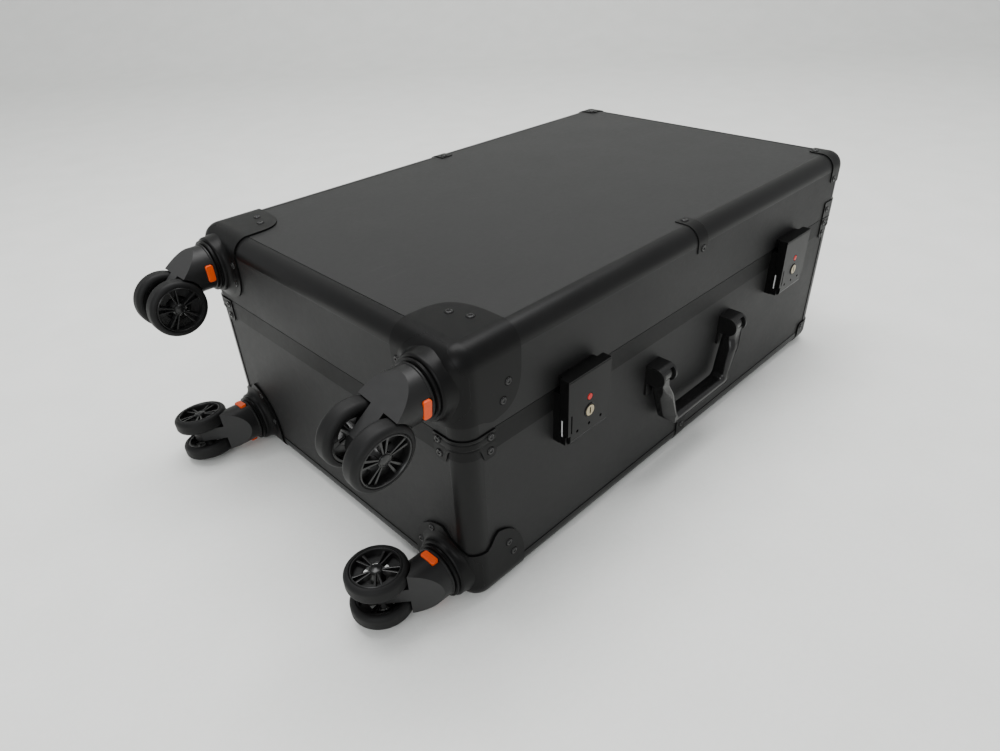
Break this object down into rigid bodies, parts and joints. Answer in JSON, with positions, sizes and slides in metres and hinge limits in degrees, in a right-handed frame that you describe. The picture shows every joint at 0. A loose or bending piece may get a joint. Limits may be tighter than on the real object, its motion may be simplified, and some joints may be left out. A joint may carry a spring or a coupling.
{
  "type": "hard shell suitcase on wheels",
  "caption": "Framed hard shell case with rounded edge extrusions, hinged lid, side latches, drop handle, telescopic handle and detachable twin-wheel swivel casters.",
  "frame": {"origin": "centre of the back face, on the floor the case lies on", "axes": "+Z out through the lid, -X towards the wheels, -Y the side with latches and carry handle, +Y the hinge side"},
  "size_m": [0.7756, 0.4738, 0.279],
  "materials": {
    "panel": "matte fine-textured black laminate",
    "lid_panel": "matte fine-textured black laminate",
    "extrusion": "satin black coated aluminium extrusion",
    "corner": "satin black moulded corner",
    "rivet": "black rivet",
    "lining": "charcoal woven lining",
    "hinge": "satin black steel",
    "latch": "semi-gloss black latch",
    "lock": "machined lock barrel",
    "handle_boot": "black moulded handle bracket",
    "handle": "semi-gloss black handle",
    "trolley_plastic": "black moulded plastic",
    "tube": "brushed aluminium tube",
    "trolley_button": "grey push button",
    "caster_body": "satin black nylon",
    "rim": "black moulded rim",
    "tyre": "matte black rubber",
    "release_button": "vivid orange"
  },
  "bodies": {
    "base": {"base_long_walls": "panel", "base_end_walls": "panel", "base_edge_rails": "extrusion", "base_corner_posts": "extrusion", "base_seam_frame": "extrusion", "base_wheel_corners": "corner", "base_corner_plates": "corner", "base_seam_plates": "corner", "base_straps": "corner", "base_rivets": "rivet", "base_lining": "lining", "back_panel": "panel", "hinge_base_leaves": "hinge", "latch_bases": "latch", "handle_boots": "handle_boot", "trolley_cup": "trolley_plastic", "trolley_outer_tubes": "tube"},
    "lid": {"lid_panel": "lid_panel", "lid_long_walls": "panel", "lid_end_walls": "panel", "lid_edge_rails": "extrusion", "lid_corner_posts": "extrusion", "lid_seam_frame": "extrusion", "lid_wheel_corners": "corner", "lid_corner_plates": "corner", "lid_seam_plates": "corner", "lid_straps": "corner", "lid_rivets": "rivet", "lid_lining": "lining", "hinge_lid_leaves": "hinge", "latch_keepers": "latch"},
    "latch_wheel_end": {"latch_flap_wheel_end": "latch"},
    "latch_grip_end": {"latch_flap_grip_end": "latch"},
    "lock_wheel_end": {"lock_plug_wheel_end": "lock"},
    "lock_grip_end": {"lock_plug_grip_end": "lock"},
    "handle": {"carry_handle": "handle"},
    "trolley": {"trolley_inner_tubes": "tube", "trolley_grip": "trolley_plastic"},
    "trolley_release": {"trolley_button": "trolley_button"},
    "lid_left_caster": {"lid_left_fork": "caster_body"},
    "lid_left_wheel_pair": {"lid_left_wheels": "rim", "lid_left_tyres": "tyre"},
    "lid_left_release_a": {"lid_left_button_a": "release_button"},
    "lid_left_release_b": {"lid_left_button_b": "release_button"},
    "lid_right_caster": {"lid_right_fork": "caster_body"},
    "lid_right_wheel_pair": {"lid_right_wheels": "rim", "lid_right_tyres": "tyre"},
    "lid_right_release_a": {"lid_right_button_a": "release_button"},
    "lid_right_release_b": {"lid_right_button_b": "release_button"},
    "base_left_caster": {"base_left_fork": "caster_body"},
    "base_left_wheel_pair": {"base_left_wheels": "rim", "base_left_tyres": "tyre"},
    "base_left_release_a": {"base_left_button_a": "release_button"},
    "base_left_release_b": {"base_left_button_b": "release_button"},
    "base_right_caster": {"base_right_fork": "caster_body"},
    "base_right_wheel_pair": {"base_right_wheels": "rim", "base_right_tyres": "tyre"},
    "base_right_release_a": {"base_right_button_a": "release_button"},
    "base_right_release_b": {"base_right_button_b": "release_button"}
  },
  "joints": [
    {"name": "lid_hinge", "type": "hinge", "parent": "base", "child": "lid", "pos_m": [0, 0.217, 0.194], "axis": [-1, 0, 0], "range_deg": [0, 100]},
    {"name": "latch_wheel_end_flip", "type": "hinge", "parent": "base", "child": "latch_wheel_end", "pos_m": [-0.2, -0.2245, 0.142], "axis": [1, 0, 0], "range_deg": [0, 95]},
    {"name": "latch_grip_end_flip", "type": "hinge", "parent": "base", "child": "latch_grip_end", "pos_m": [0.2, -0.2245, 0.142], "axis": [1, 0, 0], "range_deg": [0, 95]},
    {"name": "lock_wheel_end_turn", "type": "hinge", "parent": "latch_wheel_end", "child": "lock_wheel_end", "pos_m": [-0.2, -0.2307, 0.164], "axis": [0, -1, 0], "range_deg": [0, 90]},
    {"name": "lock_grip_end_turn", "type": "hinge", "parent": "latch_grip_end", "child": "lock_grip_end", "pos_m": [0.2, -0.2307, 0.164], "axis": [0, -1, 0], "range_deg": [0, 90]},
    {"name": "handle_swing", "type": "hinge", "parent": "base", "child": "handle", "pos_m": [0, -0.2245, 0.138], "axis": [-1, 0, 0], "range_deg": [0, 90]},
    {"name": "trolley_slide", "type": "slide", "parent": "base", "child": "trolley", "axis": [1, 0, 0], "range_m": [0, 0.3]},
    {"name": "trolley_button_press", "type": "slide", "parent": "trolley", "child": "trolley_release", "axis": [-1, 0, 0], "range_m": [0, 0.003], "stiffness_N_per_m": 400, "springref_m": -0.002},
    {"name": "lid_left_swivel", "type": "hinge", "parent": "lid", "child": "lid_left_caster", "pos_m": [-0.354, -0.178, 0.241], "axis": [-1, 0, 0], "continuous": true},
    {"name": "lid_left_roll", "type": "hinge", "parent": "lid_left_caster", "child": "lid_left_wheel_pair", "pos_m": [-0.403, -0.17441, 0.21545], "axis": [0, -0.9903, -0.1392], "continuous": true},
    {"name": "lid_left_release_a_press", "type": "slide", "parent": "lid_left_caster", "child": "lid_left_release_a", "axis": [0, 0.9903, 0.1392], "range_m": [0, 0.002], "stiffness_N_per_m": 400, "springref_m": -0.002},
    {"name": "lid_left_release_b_press", "type": "slide", "parent": "lid_left_caster", "child": "lid_left_release_b", "axis": [0, -0.9903, -0.1392], "range_m": [0, 0.002], "stiffness_N_per_m": 400, "springref_m": -0.002},
    {"name": "lid_right_swivel", "type": "hinge", "parent": "lid", "child": "lid_right_caster", "pos_m": [-0.354, 0.178, 0.241], "axis": [-1, 0, 0], "continuous": true},
    {"name": "lid_right_roll", "type": "hinge", "parent": "lid_right_caster", "child": "lid_right_wheel_pair", "pos_m": [-0.403, 0.17732, 0.21521], "axis": [0, -0.9997, 0.0262], "continuous": true},
    {"name": "lid_right_release_a_press", "type": "slide", "parent": "lid_right_caster", "child": "lid_right_release_a", "axis": [0, 0.9997, -0.0262], "range_m": [0, 0.002], "stiffness_N_per_m": 400, "springref_m": -0.002},
    {"name": "lid_right_release_b_press", "type": "slide", "parent": "lid_right_caster", "child": "lid_right_release_b", "axis": [0, -0.9997, 0.0262], "range_m": [0, 0.002], "stiffness_N_per_m": 400, "springref_m": -0.002},
    {"name": "base_left_swivel", "type": "hinge", "parent": "base", "child": "base_left_caster", "pos_m": [-0.354, -0.178, 0.035], "axis": [-1, 0, 0], "continuous": true},
    {"name": "base_left_roll", "type": "hinge", "parent": "base_left_caster", "child": "base_left_wheel_pair", "pos_m": [-0.403, -0.15221, 0.03432], "axis": [0, -0.0262, -0.9997], "continuous": true},
    {"name": "base_left_release_a_press", "type": "slide", "parent": "base_left_caster", "child": "base_left_release_a", "axis": [0, 0.0262, 0.9997], "range_m": [0, 0.002], "stiffness_N_per_m": 400, "springref_m": -0.002},
    {"name": "base_left_release_b_press", "type": "slide", "parent": "base_left_caster", "child": "base_left_release_b", "axis": [0, -0.0262, -0.9997], "range_m": [0, 0.002], "stiffness_N_per_m": 400, "springref_m": -0.002},
    {"name": "base_right_swivel", "type": "hinge", "parent": "base", "child": "base_right_caster", "pos_m": [-0.354, 0.178, 0.035], "axis": [-1, 0, 0], "continuous": true},
    {"name": "base_right_roll", "type": "hinge", "parent": "base_right_caster", "child": "base_right_wheel_pair", "pos_m": [-0.403, 0.20348, 0.03096], "axis": [0, -0.1564, -0.9877], "continuous": true},
    {"name": "base_right_release_a_press", "type": "slide", "parent": "base_right_caster", "child": "base_right_release_a", "axis": [0, 0.1564, 0.9877], "range_m": [0, 0.002], "stiffness_N_per_m": 400, "springref_m": -0.002},
    {"name": "base_right_release_b_press", "type": "slide", "parent": "base_right_caster", "child": "base_right_release_b", "axis": [0, -0.1564, -0.9877], "range_m": [0, 0.002], "stiffness_N_per_m": 400, "springref_m": -0.002}
  ]
}
